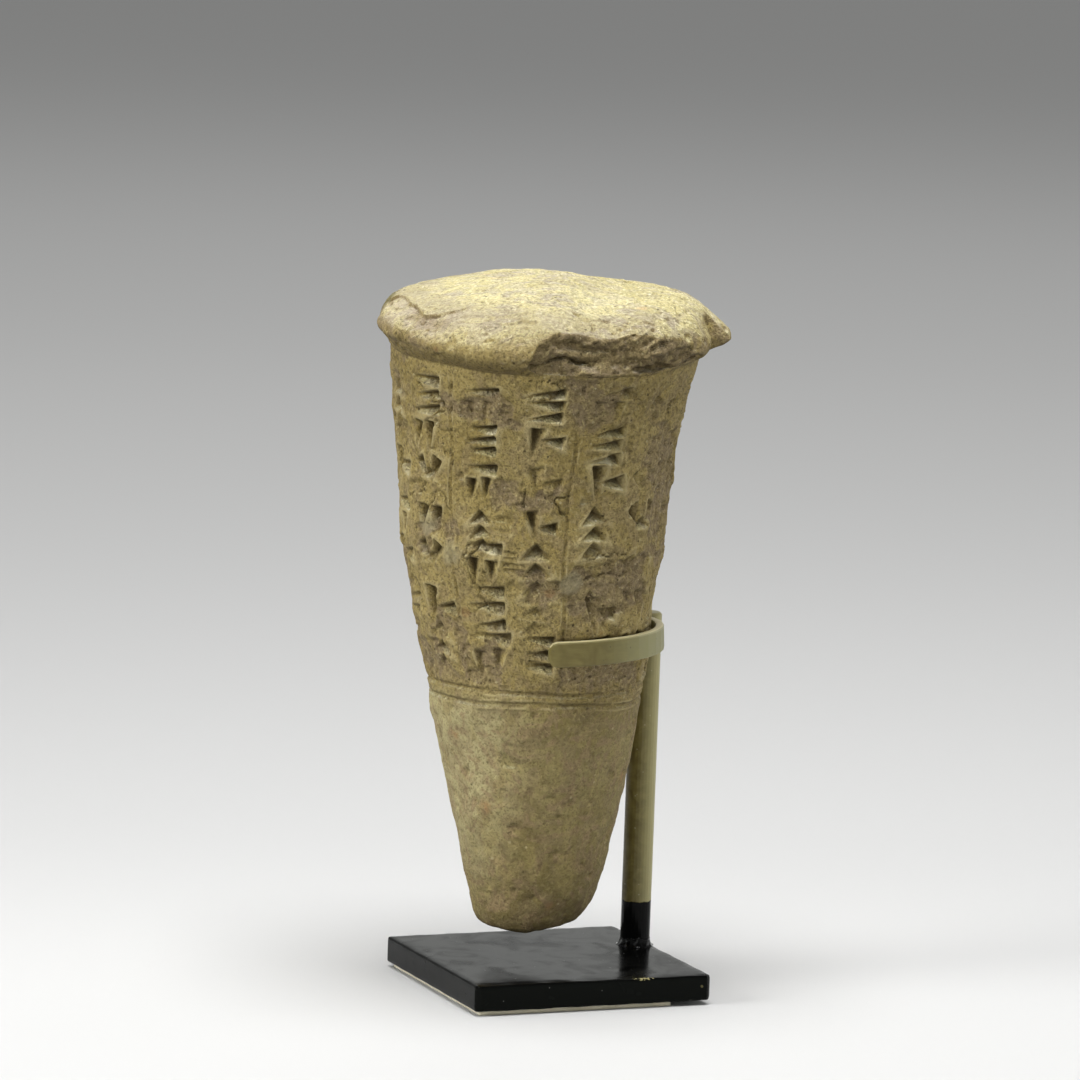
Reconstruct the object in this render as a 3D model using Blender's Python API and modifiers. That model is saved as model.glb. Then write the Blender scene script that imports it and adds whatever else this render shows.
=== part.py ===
"""Fired clay foundation cone with an inscribed body, held upright on a small metal display stand.

The origin lies under the centre of the base plate, level with the felt's underside; +Z is up and
lengths are in metres.
"""

import math
import random

import bmesh
import bpy
from mathutils import Matrix, Vector

# Base plate and the felt under it
PLATE_SIDE = 0.050
PLATE_THICKNESS = 0.0052
PLATE_EDGE = 0.00025
FELT_THICKNESS = 0.0006
FELT_INSET = 0.0012
FELT_SHORT_RIGHT = 0.0080

# Upright rod
ROD_RADIUS = 0.0030
ROD_SIDE_OFFSET = 0.0060
ROD_TOP_CHAMFER = 0.0004
ROD_OVER_BAND = 0.0004
ROD_CONE_CLEARANCE = 0.0005
FOOT_FLARE = 0.0001
FOOT_RISE = 0.0012

# Holding band
BAND_HEIGHT = 0.0050
BAND_THICKNESS = 0.0017
BAND_CORNER = 0.0018
BAND_EDGE = 0.0004
BAND_HALF_TURN = math.radians(116.5)
BAND_LEVEL = 0.0569
BAND_TILT = math.radians(2.5)

# Gaps: between touching pieces, between band and clay, and under the tip
JOINT_GAP = 0.0003
CLAY_GAP = 0.0003
TIP_CLEARANCE = 0.0050

# Cone: its length along the axis, its turn on the stand and the rod's bearing from its right side
CONE_LENGTH = 0.1305
CONE_TURN = math.radians(-22.5)
ROD_BEARING = math.radians(32.5)

# The cone's free form is written in real millimetres of a cone 130.5 mm long and follows its length
CLAY_MM = CONE_LENGTH / 130.5

# Turned profile of the body in clay millimetres: height above the tip, radius
BODY_PROFILE = (
    (0.2, 5.8), (0.8, 8.6), (2.2, 10.3), (4.6, 11.5), (9.0, 12.8), (14.0, 14.2), (20.0, 15.4),
    (28.0, 17.0), (36.0, 18.7), (45.0, 20.5), (54.0, 22.0), (60.0, 23.2), (69.0, 24.6),
    (78.0, 26.0), (87.0, 26.6), (96.0, 27.5), (105.0, 28.7), (116.4, 30.3),
)
# Underside of the head: height above the neck line, radius
HEAD_UNDERSIDE = (
    (0.0, 30.2), (0.5, 31.0), (1.2, 32.2), (2.0, 33.2), (2.8, 33.7),
)
NECK_LEVEL = 117.15
RIM_LEVEL = 120.65
RIM_RADIUS = 33.9
DOME_RISE = 9.85
DOME_STEPS = (0, 9, 21, 35, 49, 63, 77, 90)
RING_LINES = (48.7, 51.1)
RING_LINE_DEPTH = 0.45
RING_LINE_HALF = 0.45
# Sideways drift of the sections: height, shift to the right
CENTRE_DRIFT = (
    (0.0, 0.1), (5.0, 0.5), (10.0, 0.9), (30.0, 0.8), (45.0, 0.25), (57.0, -0.05), (66.0, -0.3),
    (78.0, -1.05), (88.0, -1.4), (100.0, -1.2), (110.0, -0.55), (122.0, 0.2), (132.0, 0.2),
)
# The head leans forwards and a little to the right
HEAD_LEAN_FORWARD = 0.088
HEAD_LEAN_RIGHT = 0.015
LEAN_START = 96.0
# Worn outline of the rim: bearing from the front in degrees, change of radius
RIM_OUTLINE = (
    (-180, 0.3), (-152, 0.9), (-128, 0.5), (-112, 0.3), (-99, 0.1), (-92, -0.4), (-80, 0.0), (-55, -0.3),
    (-30, 0.2), (-8, -0.1), (20, -0.4), (50, -0.2), (66, 0.3), (70, 0.4), (75, 0.8), (81, 1.6),
    (88, 2.3), (97, 2.4), (108, 1.2), (126, 0.4), (150, -0.5), (180, 0.3),
)
# Worn top of the head: place to the right of the axis, change of height
TOP_TRIM = (
    (-36.0, 0.0), (-31.0, 0.4), (-27.0, 0.0), (-22.0, -0.5), (-15.0, -0.5), (-8.0, -0.1), (0.0, 0.25),
    (4.0, 0.1), (7.0, -0.55), (11.0, -0.95), (15.0, -0.7), (19.0, -0.2), (26.0, 0.6), (27.9, 0.6),
    (29.5, 0.35), (31.0, -0.15), (32.6, -0.8), (34.2, -1.25), (35.8, -1.0), (38.0, -0.2),
)
# Hollow under the rim: bearing from the front, depth
UNDERCUT = (
    (-130.0, 0.0), (-112.0, 0.5), (-85.0, 1.1), (-62.0, 0.9), (-40.0, 0.2), (-20.0, 0.0), (70.0, 0.0),
    (80.0, 0.9), (88.0, 1.8), (98.0, 1.4), (112.0, 0.3), (125.0, 0.0),
)
# Chipped rim in front of the tip that juts out at the right: bearing from the front, clay lost
TIP_STEP = (
    (64.0, 0.0), (70.0, 0.3), (75.0, 1.3), (80.0, 2.6), (84.2, 3.2), (85.6, 0.0),
)
# Break in the front right of the rim: bearing from the front, radius left at its top and at its foot
BREAK_EDGE = (
    (-6.0, 37.0), (-4.0, 34.2), (-2.7, 32.8), (0.9, 31.5), (3.6, 31.0), (7.2, 30.7), (14.0, 30.0),
    (20.0, 30.1), (27.0, 30.3), (33.0, 30.1), (37.0, 31.1), (40.5, 31.7), (44.5, 32.3), (51.0, 33.0),
    (57.0, 33.7), (64.0, 37.0),
)
BREAK_FOOT = (
    (-8.0, 37.0), (-5.0, 32.0), (0.0, 30.8), (15.0, 30.6), (30.0, 30.4), (44.0, 30.4), (52.0, 31.0),
    (60.0, 31.8), (66.0, 33.0), (70.0, 37.0),
)
# Hollows in the clay: bearing from the front, height, half angle, half height, depth
DENTS = (
    (90, 68.5, 26, 8.0, 1.1), (43, 54.5, 12, 3.5, 0.7), (-96, 84.0, 14, 4.0, 0.4),
    (60, 106.0, 16, 9.0, 0.5), (150, 88.0, 20, 10.0, 0.6), (-160, 62.0, 16, 7.0, 0.5),
    (88, 102.5, 24, 10.0, 0.45), (-88, 116.0, 22, 7.0, -0.6),
)
# Deep pits: bearing from the front, height, half width, half height, depth
PITS = (
    (65.5, 64.6, 1.0, 1.5, 2.2), (47, 116.4, 3.0, 0.9, 1.6), (56, 116.6, 2.2, 0.9, 1.4),
    (33, 79.5, 1.3, 1.0, 1.2), (-52, 96.0, 1.4, 1.2, 1.2), (128, 71.0, 2.0, 1.4, 1.3),
    (-140, 103.0, 1.8, 1.2, 1.2),
)
# Inscribed zone: columns of pressed strokes in rows, between ruled lines
COLUMN_COUNT = 7
FIRST_LINE = 14.5
ROW_COUNT = 7
TOP_ROW = 110.0
ROW_PITCH = 8.5
STROKE_SEED = 271
STROKE_LEAST_DEPTH = 0.75
STROKE_MARGIN = 0.5
STROKE_DEEPEST = 0.3
LINE_DEPTH = 0.4
LINE_RISE = 0.6
LINE_HALF_WIDTH = 0.9
LINE_PIECES = 5

CONE_STEPS = 60
ROUND_STEPS = 28
BAND_STEPS = 30
EDGE_SEGMENTS = 2


# Levels and places that follow from the sizes
plate_bottom = FELT_THICKNESS + JOINT_GAP
plate_top = plate_bottom + PLATE_THICKNESS
tip_level = plate_top + TIP_CLEARANCE
band_bottom = tip_level + BAND_LEVEL
band_top = band_bottom + BAND_HEIGHT
rod_bottom = plate_top + JOINT_GAP


def follow(table, value):
    """Smooth curve through a table of (position, amount)."""
    if value <= table[0][0]:
        return table[0][1]
    if value >= table[-1][0]:
        return table[-1][1]
    place = next(i for i in range(1, len(table)) if value <= table[i][0])
    low, high = table[place - 1], table[place]
    before = table[place - 2] if place > 1 else low
    after = table[place + 1] if place + 1 < len(table) else high
    span = high[0] - low[0]
    start_slope = (high[1] - before[1]) / (high[0] - before[0])
    end_slope = (after[1] - low[1]) / (after[0] - low[0])
    share = (value - low[0]) / span
    square = share * share
    cube = square * share
    return (
        (2 * cube - 3 * square + 1) * low[1]
        + (cube - 2 * square + share) * span * start_slope
        + (3 * square - 2 * cube) * high[1]
        + (cube - square) * span * end_slope
    )


def ease(low, high, value):
    """Smooth step from 0 at low to 1 at high."""
    share = min(1.0, max(0.0, (value - low) / (high - low)))
    return share * share * (3 - 2 * share)


def front_bearing(angle):
    """Bearing from the cone's front, in degrees from -180 to 180, of an angle from its right side."""
    return (math.degrees(angle) + 90 + 180) % 360 - 180


def turn_between(bearing, other):
    """Smallest turn in degrees from one bearing to another."""
    return (bearing - other + 180) % 360 - 180


def body_radius(height):
    """Turned radius of the body at a height, both in clay millimetres."""
    return follow(BODY_PROFILE, height)


def rim_radius_left(bearing, rise):
    """Radius that the break leaves at a bearing, at a rise above the neck line."""
    edge = follow(BREAK_EDGE, bearing)
    foot = follow(BREAK_FOOT, bearing)
    return foot + (edge - foot) * ease(1.0, 5.0, rise)


def clay_point(angle, radius, height):
    """Place of a point of the turned form, in clay millimetres, once the clay is bent and worn."""
    bearing = front_bearing(angle)
    rise = height - NECK_LEVEL
    on_head = ease(NECK_LEVEL - 1.0, NECK_LEVEL + 3.0, height)
    lobes = 0.15 * math.sin(2 * angle + 0.6) + 0.12 * math.sin(3 * angle + height * 0.06)
    radius += lobes * min(1.0, radius / 20)
    outline = follow(RIM_OUTLINE, bearing) * ease(22, 33, radius)
    outline -= follow(TIP_STEP, bearing) * ease(29, 33, radius)
    radius += outline * ease(0.4, 3.0, rise)
    radius -= follow(UNDERCUT, bearing) * ease(0.3, 1.4, rise) * (1 - ease(1.8, 4.2, rise))
    if rise > 0.5:
        radius = min(radius, rim_radius_left(bearing, rise))
    for place, level, half_angle, half_height, depth in DENTS:
        across = turn_between(bearing, place) / half_angle
        along = (height - level) / half_height
        radius -= depth * max(0.0, 1 - across * across - along * along) * (1 - on_head)
    drift = follow(CENTRE_DRIFT, height)
    x = drift + radius * math.cos(angle)
    y = radius * math.sin(angle)
    lean = ease(LEAN_START, NECK_LEVEL, height)
    z = height + lean * (HEAD_LEAN_FORWARD * y - HEAD_LEAN_RIGHT * x)
    z += 0.14 * max(0.0, x) * (1 - ease(0.0, 9.0, height))
    z += follow(TOP_TRIM, x) * ease(3.5, 7.0, rise)
    if rise > 6:
        flake = ease(-104, -96, bearing) * (1 - ease(-14, -4, bearing))
        flake *= ease(13.0, 14.5, radius) * (1 - ease(30.0, 33.0, radius))
        swell = 0.35 * math.sin(x * 0.16 + 0.8) * math.cos(y * 0.14 - 0.4)
        z += swell * ease(6, 9, rise) - 0.6 * flake
    return Vector((x, y, z)) * CLAY_MM


def surface_frame(bearing, height):
    """Point, right, up and outward directions of the body's surface at a bearing and height."""
    angle = math.radians(bearing - 90)
    small_turn = math.radians(1.5)
    point = clay_point(angle, body_radius(height), height)
    right = clay_point(angle + small_turn, body_radius(height), height) - point
    up = clay_point(angle, body_radius(height + 0.8), height + 0.8) - point
    right.normalize()
    outward = right.cross(up).normalized()
    return point, right, outward.cross(right), outward


def band_inner_radius(angle):
    """Radius of the band's inner face: the clay's own section at the band's top, plus the gap."""
    middle = (BAND_LEVEL + BAND_HEIGHT) / CLAY_MM
    height = middle + math.sin(BAND_TILT) * body_radius(middle) * math.cos(angle)
    section = body_radius(height) + 0.15 * math.sin(2 * angle + 0.6)
    section += 0.12 * math.sin(3 * angle + height * 0.06)
    return (section + follow(CENTRE_DRIFT, height) * math.cos(angle)) * CLAY_MM + CLAY_GAP


def clay_radius_under_band(angle):
    """Radius of the clay just under the band, from the cone's axis."""
    height = BAND_LEVEL / CLAY_MM
    section = body_radius(height) + 0.27
    return (section + follow(CENTRE_DRIFT, height) * math.cos(angle)) * CLAY_MM


rod_x = PLATE_SIDE / 2 - PLATE_EDGE - FOOT_FLARE - ROD_RADIUS
rod_distance = clay_radius_under_band(ROD_BEARING) + ROD_CONE_CLEARANCE + ROD_RADIUS
rod_direction = CONE_TURN + ROD_BEARING
band_rise_at_rod = math.sin(BAND_TILT) * rod_distance * math.cos(ROD_BEARING)
rod_top = band_top + band_rise_at_rod + ROD_OVER_BAND
axis_x = rod_x - rod_distance * math.cos(rod_direction)
axis_y = ROD_SIDE_OFFSET - rod_distance * math.sin(rod_direction)
CONE_PLACE = Matrix.Translation((axis_x, axis_y, tip_level)) @ Matrix.Rotation(CONE_TURN, 4, "Z")
BAND_PLACE = CONE_PLACE @ Matrix.Translation((0, 0, BAND_LEVEL + BAND_HEIGHT / 2))
BAND_PLACE = BAND_PLACE @ Matrix.Rotation(-BAND_TILT, 4, "Y")


# Scene, collections and materials

for old in list(bpy.data.objects):
    bpy.data.objects.remove(old, do_unlink=True)

parts = bpy.data.collections.new("foundation_cone_on_stand")
cutters = bpy.data.collections.new("cutters")
bpy.context.scene.collection.children.link(parts)
bpy.context.scene.collection.children.link(cutters)


def finish(name, colour, roughness, metallic):
    """Plain surface of one material."""
    material = bpy.data.materials.new(name)
    material.use_nodes = True
    shader = material.node_tree.nodes["Principled BSDF"]
    shader.inputs["Base Color"].default_value = (*colour, 1.0)
    shader.inputs["Roughness"].default_value = roughness
    shader.inputs["Metallic"].default_value = metallic
    return material


fired_clay = finish("fired_clay", (0.36, 0.30, 0.17), 0.92, 0.0)
khaki_paint = finish("khaki_paint", (0.21, 0.19, 0.11), 0.5, 0.0)
black_enamel = finish("black_enamel", (0.012, 0.012, 0.012), 0.22, 0.0)
tan_felt = finish("tan_felt", (0.45, 0.36, 0.24), 0.95, 0.0)


def mesh_object(name, bm, collection, place=Matrix.Identity(4)):
    """New object from a mesh in the making, set in a collection at a place."""
    mesh = bpy.data.meshes.new(name)
    bm.to_mesh(mesh)
    bm.free()
    piece = bpy.data.objects.new(name, mesh)
    piece.matrix_world = place
    collection.objects.link(piece)
    return piece


def as_cutter(piece):
    """Keep a piece as a tool only."""
    piece.hide_render = True
    piece.display_type = "WIRE"
    return piece


def cut(piece, cutter, name):
    """Cut a piece by a cutter."""
    modifier = piece.modifiers.new(name, "BOOLEAN")
    modifier.operation = "DIFFERENCE"
    modifier.solver = "EXACT"
    modifier.use_self = True
    modifier.object = cutter


def turned_mesh(name, profile, steps):
    """Mesh turned from a profile of (radius, height) that runs from the top down."""
    bm = bmesh.new()
    corners = [bm.verts.new((radius, 0.0, height)) for radius, height in profile]
    for upper, lower in zip(corners, corners[1:]):
        bm.edges.new((upper, lower))
    outline = mesh_object(name, bm, parts)
    screw = outline.modifiers.new("turn", "SCREW")
    screw.axis = "Z"
    screw.steps = steps
    screw.render_steps = steps
    screw.use_merge_vertices = True
    screw.merge_threshold = 0.00001
    bpy.context.view_layer.update()
    depsgraph = bpy.context.evaluated_depsgraph_get()
    mesh = bpy.data.meshes.new_from_object(outline.evaluated_get(depsgraph))
    bpy.data.objects.remove(outline, do_unlink=True)
    return mesh


# Felt pad: a thin rectangle glued under the plate, cut short on the right

felt_depth = PLATE_SIDE - 2 * FELT_INSET
felt_width = PLATE_SIDE - FELT_INSET - FELT_SHORT_RIGHT
felt_middle = ((FELT_INSET - FELT_SHORT_RIGHT) / 2, 0, FELT_THICKNESS / 2)
bm = bmesh.new()
bmesh.ops.create_cube(bm, size=1.0)
bmesh.ops.scale(bm, vec=(felt_width, felt_depth, FELT_THICKNESS), verts=bm.verts)
felt_pad = mesh_object("felt_pad", bm, parts, Matrix.Translation(felt_middle))
felt_pad.data.materials.append(tan_felt)

# Base plate: a square of flat bar with softened edges

bm = bmesh.new()
bmesh.ops.create_cube(bm, size=1.0)
bmesh.ops.scale(bm, vec=(PLATE_SIDE, PLATE_SIDE, PLATE_THICKNESS), verts=bm.verts)
plate_middle = plate_bottom + PLATE_THICKNESS / 2
base_plate = mesh_object("base_plate", bm, parts, Matrix.Translation((0, 0, plate_middle)))
edge = base_plate.modifiers.new("softened edges", "BEVEL")
edge.width = PLATE_EDGE
edge.segments = EDGE_SEGMENTS
base_plate.data.materials.append(black_enamel)

# Upright rod: round bar with a flared foot, notched at the top for the band

rod_length = rod_top - rod_bottom
rod_profile = [(0.0, rod_length), (ROD_RADIUS - ROD_TOP_CHAMFER, rod_length)]
rod_profile.append((ROD_RADIUS, rod_length - ROD_TOP_CHAMFER))
for step in range(4):
    share = step / 3
    rod_profile.append((ROD_RADIUS + FOOT_FLARE * share * share, FOOT_RISE * (1 - share)))
rod_profile.append((0.0, 0.0))
rod_mesh = turned_mesh("upright_rod", rod_profile, ROUND_STEPS)
upright_rod = bpy.data.objects.new("upright_rod", rod_mesh)
upright_rod.location = (rod_x, ROD_SIDE_OFFSET, rod_bottom)
parts.objects.link(upright_rod)
upright_rod.data.materials.append(khaki_paint)


def bend(bm, length, face_offset):
    """Bend a straight bar, long in X and thick in Y, round the cone's section."""
    for vert in bm.verts:
        angle = ROD_BEARING - vert.co.x / length * 2 * BAND_HALF_TURN
        radius = band_inner_radius(angle) + face_offset + vert.co.y
        vert.co = (radius * math.cos(angle), radius * math.sin(angle), vert.co.z)


def straight_bar(length, thickness, height, corner, edge_width):
    """Flat bar with rounded ends and softened edges, cut into short steps so that it can bend."""
    bm = bmesh.new()
    bmesh.ops.create_cube(bm, size=1.0)
    bmesh.ops.scale(bm, vec=(length, thickness, height), verts=bm.verts)
    if corner:
        corners = [
            side for side in bm.edges
            if abs(side.verts[0].co.y - side.verts[1].co.y) > thickness / 2
        ]
        bmesh.ops.bevel(
            bm, geom=corners, offset=corner, segments=3, profile=0.5, affect="EDGES"
        )
    if edge_width:
        rims = [
            side for side in bm.edges
            if abs(side.verts[0].co.y - side.verts[1].co.y) < thickness / 2
        ]
        bmesh.ops.bevel(
            bm, geom=rims, offset=edge_width, segments=EDGE_SEGMENTS, profile=0.5, affect="EDGES"
        )
    for step in range(1, BAND_STEPS):
        x = length * (step / BAND_STEPS - 0.5)
        if abs(x) < length / 2 - corner * 1.2:
            geometry = bm.verts[:] + bm.edges[:] + bm.faces[:]
            bmesh.ops.bisect_plane(
                bm, geom=geometry, dist=1e-7, plane_co=(x, 0, 0), plane_no=(1, 0, 0)
            )
    return bm


# Holding band: a flat strip bent round the cone, open on the side away from the rod

band_length = (band_inner_radius(ROD_BEARING) + BAND_THICKNESS / 2) * 2 * BAND_HALF_TURN
bm = straight_bar(band_length, BAND_THICKNESS, BAND_HEIGHT, BAND_CORNER, BAND_EDGE)
bend(bm, band_length, BAND_THICKNESS / 2)
holding_band = mesh_object("holding_band", bm, parts, BAND_PLACE)
holding_band.data.materials.append(khaki_paint)

# Seat of the band in the rod: the band's own outer face with the joint gap, open upwards

seat_thickness = BAND_THICKNESS + ROD_RADIUS + 2 * JOINT_GAP
seat_height = BAND_HEIGHT + ROD_OVER_BAND + 3 * JOINT_GAP
bm = straight_bar(band_length, seat_thickness, seat_height, 0.0, 0.0)
bend(bm, band_length, BAND_THICKNESS + JOINT_GAP - seat_thickness / 2)
seat_middle = (seat_height - BAND_HEIGHT) / 2 - JOINT_GAP
seat_place = BAND_PLACE @ Matrix.Translation((0, 0, seat_middle))
band_seat = as_cutter(mesh_object("band_seat", bm, cutters, seat_place))
cut(upright_rod, band_seat, "band seat")


# Foundation cone: a turned form, then bent, worn and inscribed

def cone_profile():
    """Half outline of the cone in clay millimetres, from the middle of the head to the tip."""
    outline = []
    for degrees in DOME_STEPS:
        sine = math.sin(math.radians(degrees))
        rise = DOME_RISE * math.cos(math.radians(degrees))
        outline.append((RIM_RADIUS * sine ** (2 / 3), RIM_LEVEL + rise))
    for rise, radius in reversed(HEAD_UNDERSIDE):
        outline.append((radius, NECK_LEVEL + rise))
    levels = {height for height, radius in BODY_PROFILE}
    for line in RING_LINES:
        levels.update((line - RING_LINE_HALF, line, line + RING_LINE_HALF))
    for height in sorted(levels, reverse=True):
        depth = RING_LINE_DEPTH if height in RING_LINES else 0.0
        outline.append((body_radius(height) - depth, height))
    outline.append((0.0, 0.0))
    return outline


cone_mesh = turned_mesh("foundation_cone", cone_profile(), CONE_STEPS)
for vert in cone_mesh.vertices:
    x, y, z = vert.co
    vert.co = clay_point(math.atan2(y, x), math.hypot(x, y), z)
foundation_cone = bpy.data.objects.new("foundation_cone", cone_mesh)
foundation_cone.matrix_world = CONE_PLACE
parts.objects.link(foundation_cone)
foundation_cone.data.materials.append(fired_clay)


def stroke_group(draw, kind):
    """Strokes of one group: place across and up, lean in degrees, length, width and depth."""
    depth = draw.uniform(1.1, 1.5)
    size = draw.uniform(0.88, 1.15)
    if kind == "uprights":
        group = [(side * 1.9, 3.4, -90, 7.0, 3.1) for side in (-1, 1)]
    elif kind == "levels":
        group = [(3.7, up, 180, 7.2, 2.4) for up in (2.7, 0.0, -2.7)]
    elif kind == "corners":
        group = [(0.0, up, 90, 3.0, 5.6) for up in (1.0, -2.1, -5.2)]
    elif kind == "gate":
        group = [(3.9, 3.0, 180, 7.4, 2.5), (-1.8, 1.0, -90, 5.0, 2.5), (1.8, 1.0, -90, 5.0, 2.5)]
    elif kind == "cross":
        group = [(-0.8, 3.6, -90, 7.4, 3.1), (4.4, 0.3, 180, 5.6, 2.6)]
    else:
        group = [(-2.7, 3.0, -62, 6.0, 2.8), (2.7, 3.0, -118, 6.0, 2.8), (0.0, -1.2, 90, 2.4, 4.4)]
    return [
        (across * size, up * size + draw.uniform(-0.3, 0.3), lean + draw.uniform(-7, 7),
         length * size * draw.uniform(0.85, 1.1), width * size, depth)
        for across, up, lean, length, width in group
    ]


def strokes():
    """All pressed strokes: bearing and height of the head, lean, length, width and depth."""
    draw = random.Random(STROKE_SEED)
    kinds = ("uprights", "levels", "corners", "gate", "cross", "fan")
    column_turn = 360 / COLUMN_COUNT
    for column in range(COLUMN_COUNT):
        for row in range(ROW_COUNT):
            for half in (-1, 1):
                kind = draw.choice(kinds)
                middle_height = TOP_ROW - row * ROW_PITCH + draw.uniform(-0.8, 0.8)
                middle = FIRST_LINE + (column + 0.5 + half * 0.235) * column_turn
                middle += draw.uniform(-1.5, 1.5)
                wear = draw.choice((0.4, 0.7, 0.9, 1.0))
                degrees_per_mm = math.degrees(1 / body_radius(middle_height))
                for across, up, lean, length, width, depth in stroke_group(draw, kind):
                    bearing = turn_between(middle + across * degrees_per_mm, 0)
                    height = middle_height + up
                    if height + max(0.0, length * math.sin(math.radians(lean))) < TOP_ROW + 4.5:
                        yield bearing, height, lean, length, width, depth * wear


def stroke_matrix(bearing, height, lean, length, width, depth):
    """Place and size of the three-sided point that presses one stroke."""
    point, right, up, outward = surface_frame(bearing, height)
    slope = math.radians(lean)
    along = right * math.cos(slope) + up * math.sin(slope)
    across = outward.cross(along)
    growth = (depth + STROKE_MARGIN) / depth
    length_scale = length * growth / 1.5
    centre = point + along * (length / 3) * CLAY_MM
    centre += outward * (STROKE_MARGIN - depth) / 2 * CLAY_MM
    axes = Matrix((across, -along, outward)).transposed().to_4x4()
    axes = axes @ Matrix.Rotation(math.pi, 4, "Z")
    lean_in = Matrix.Identity(4)
    lean_in[1][2] = STROKE_DEEPEST
    size = Vector((width * growth / math.sqrt(3), length_scale, depth + STROKE_MARGIN)) * CLAY_MM
    return Matrix.Translation(centre) @ axes @ Matrix.Diagonal((*size, 1.0)) @ lean_in


# Pressed strokes

bm = bmesh.new()
for bearing, height, lean, length, width, depth in strokes():
    if depth >= STROKE_LEAST_DEPTH:
        bmesh.ops.create_cone(
            bm, cap_ends=True, segments=3, radius1=0.0, radius2=1.0, depth=1.0,
            matrix=stroke_matrix(bearing, height, lean, length, width, depth),
        )
stroke_cutter = as_cutter(mesh_object("stroke_cutter", bm, cutters, CONE_PLACE))
cut(foundation_cone, stroke_cutter, "pressed strokes")

# Ruled lines between the columns

bm = bmesh.new()
line_bottom = RING_LINES[-1] + 2.0
line_top = NECK_LEVEL - 2.0
for column in range(COLUMN_COUNT):
    bearing = FIRST_LINE + column * 360 / COLUMN_COUNT
    sections = []
    for step in range(LINE_PIECES + 1):
        height = line_bottom + (line_top - line_bottom) * step / LINE_PIECES
        point, right, up, outward = surface_frame(bearing, height)
        places = ((-LINE_HALF_WIDTH, LINE_RISE), (LINE_HALF_WIDTH, LINE_RISE), (0.0, -LINE_DEPTH))
        sections.append(
            [bm.verts.new(point + (right * side + outward * out) * CLAY_MM) for side, out in places]
        )
    for lower, upper in zip(sections, sections[1:]):
        for first in range(3):
            second = (first + 1) % 3
            bm.faces.new((lower[second], lower[first], upper[first], upper[second]))
    bm.faces.new(sections[0])
    bm.faces.new(reversed(sections[-1]))
bmesh.ops.recalc_face_normals(bm, faces=bm.faces)
line_cutter = as_cutter(mesh_object("line_cutter", bm, cutters, CONE_PLACE))
cut(foundation_cone, line_cutter, "ruled lines")

# Deep pits where the clay has broken away

bm = bmesh.new()
for bearing, height, half_width, half_height, depth in PITS:
    point, right, up, outward = surface_frame(bearing, height)
    axes = Matrix((right, up, outward)).transposed().to_4x4()
    size = Vector((half_width, half_height, depth)) * CLAY_MM
    bmesh.ops.create_icosphere(
        bm, subdivisions=1, radius=1.0,
        matrix=Matrix.Translation(point) @ axes @ Matrix.Diagonal((*size, 1.0)),
    )
pit_cutter = as_cutter(mesh_object("pit_cutter", bm, cutters, CONE_PLACE))
cut(foundation_cone, pit_cutter, "pits")

for piece in parts.objects:
    piece.data.shade_smooth()
    piece.data.set_sharp_from_angle(angle=math.radians(35))
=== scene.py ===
"""Looks of an inscribed clay foundation cone on its metal stand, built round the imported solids.

Lengths are in metres unless a name says millimetres; +Z is up and the origin is under the plate.
"""

import math
import random

import bmesh
import bpy
import numpy as np
from mathutils import Matrix, Vector


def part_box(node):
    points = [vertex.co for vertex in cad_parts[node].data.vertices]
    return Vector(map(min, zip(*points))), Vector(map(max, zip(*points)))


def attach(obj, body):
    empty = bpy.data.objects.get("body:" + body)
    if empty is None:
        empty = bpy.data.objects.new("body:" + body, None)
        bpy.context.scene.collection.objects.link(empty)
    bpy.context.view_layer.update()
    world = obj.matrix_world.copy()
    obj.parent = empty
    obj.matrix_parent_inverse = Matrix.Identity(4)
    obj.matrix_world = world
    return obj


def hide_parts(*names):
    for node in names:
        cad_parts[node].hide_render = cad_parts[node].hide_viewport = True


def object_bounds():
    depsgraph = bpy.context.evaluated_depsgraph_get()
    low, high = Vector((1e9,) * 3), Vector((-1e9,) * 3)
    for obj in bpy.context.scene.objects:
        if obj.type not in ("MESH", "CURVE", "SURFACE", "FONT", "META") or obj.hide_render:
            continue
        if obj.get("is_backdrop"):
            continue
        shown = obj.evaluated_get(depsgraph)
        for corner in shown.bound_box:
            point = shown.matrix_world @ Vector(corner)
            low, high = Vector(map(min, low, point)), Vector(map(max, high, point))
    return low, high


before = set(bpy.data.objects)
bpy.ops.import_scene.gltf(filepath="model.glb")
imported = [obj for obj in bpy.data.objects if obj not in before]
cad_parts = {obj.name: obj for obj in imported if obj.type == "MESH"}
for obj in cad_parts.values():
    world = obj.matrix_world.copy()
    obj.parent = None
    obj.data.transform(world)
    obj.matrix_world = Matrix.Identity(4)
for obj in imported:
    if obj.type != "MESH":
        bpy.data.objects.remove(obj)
solid_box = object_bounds()


# Felt pad
# A thin sheet of tan wool felt, cut with shears a little smaller than the plate and glued under it,
# so that the steel doesn't scratch the shelf. It stops short of the plate's right edge.

FELT_TOP = 0.00085
FELT_STEPS = 90
FELT_SHEAR = 0.00012
FELT_FUZZ = 0.00006


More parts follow.
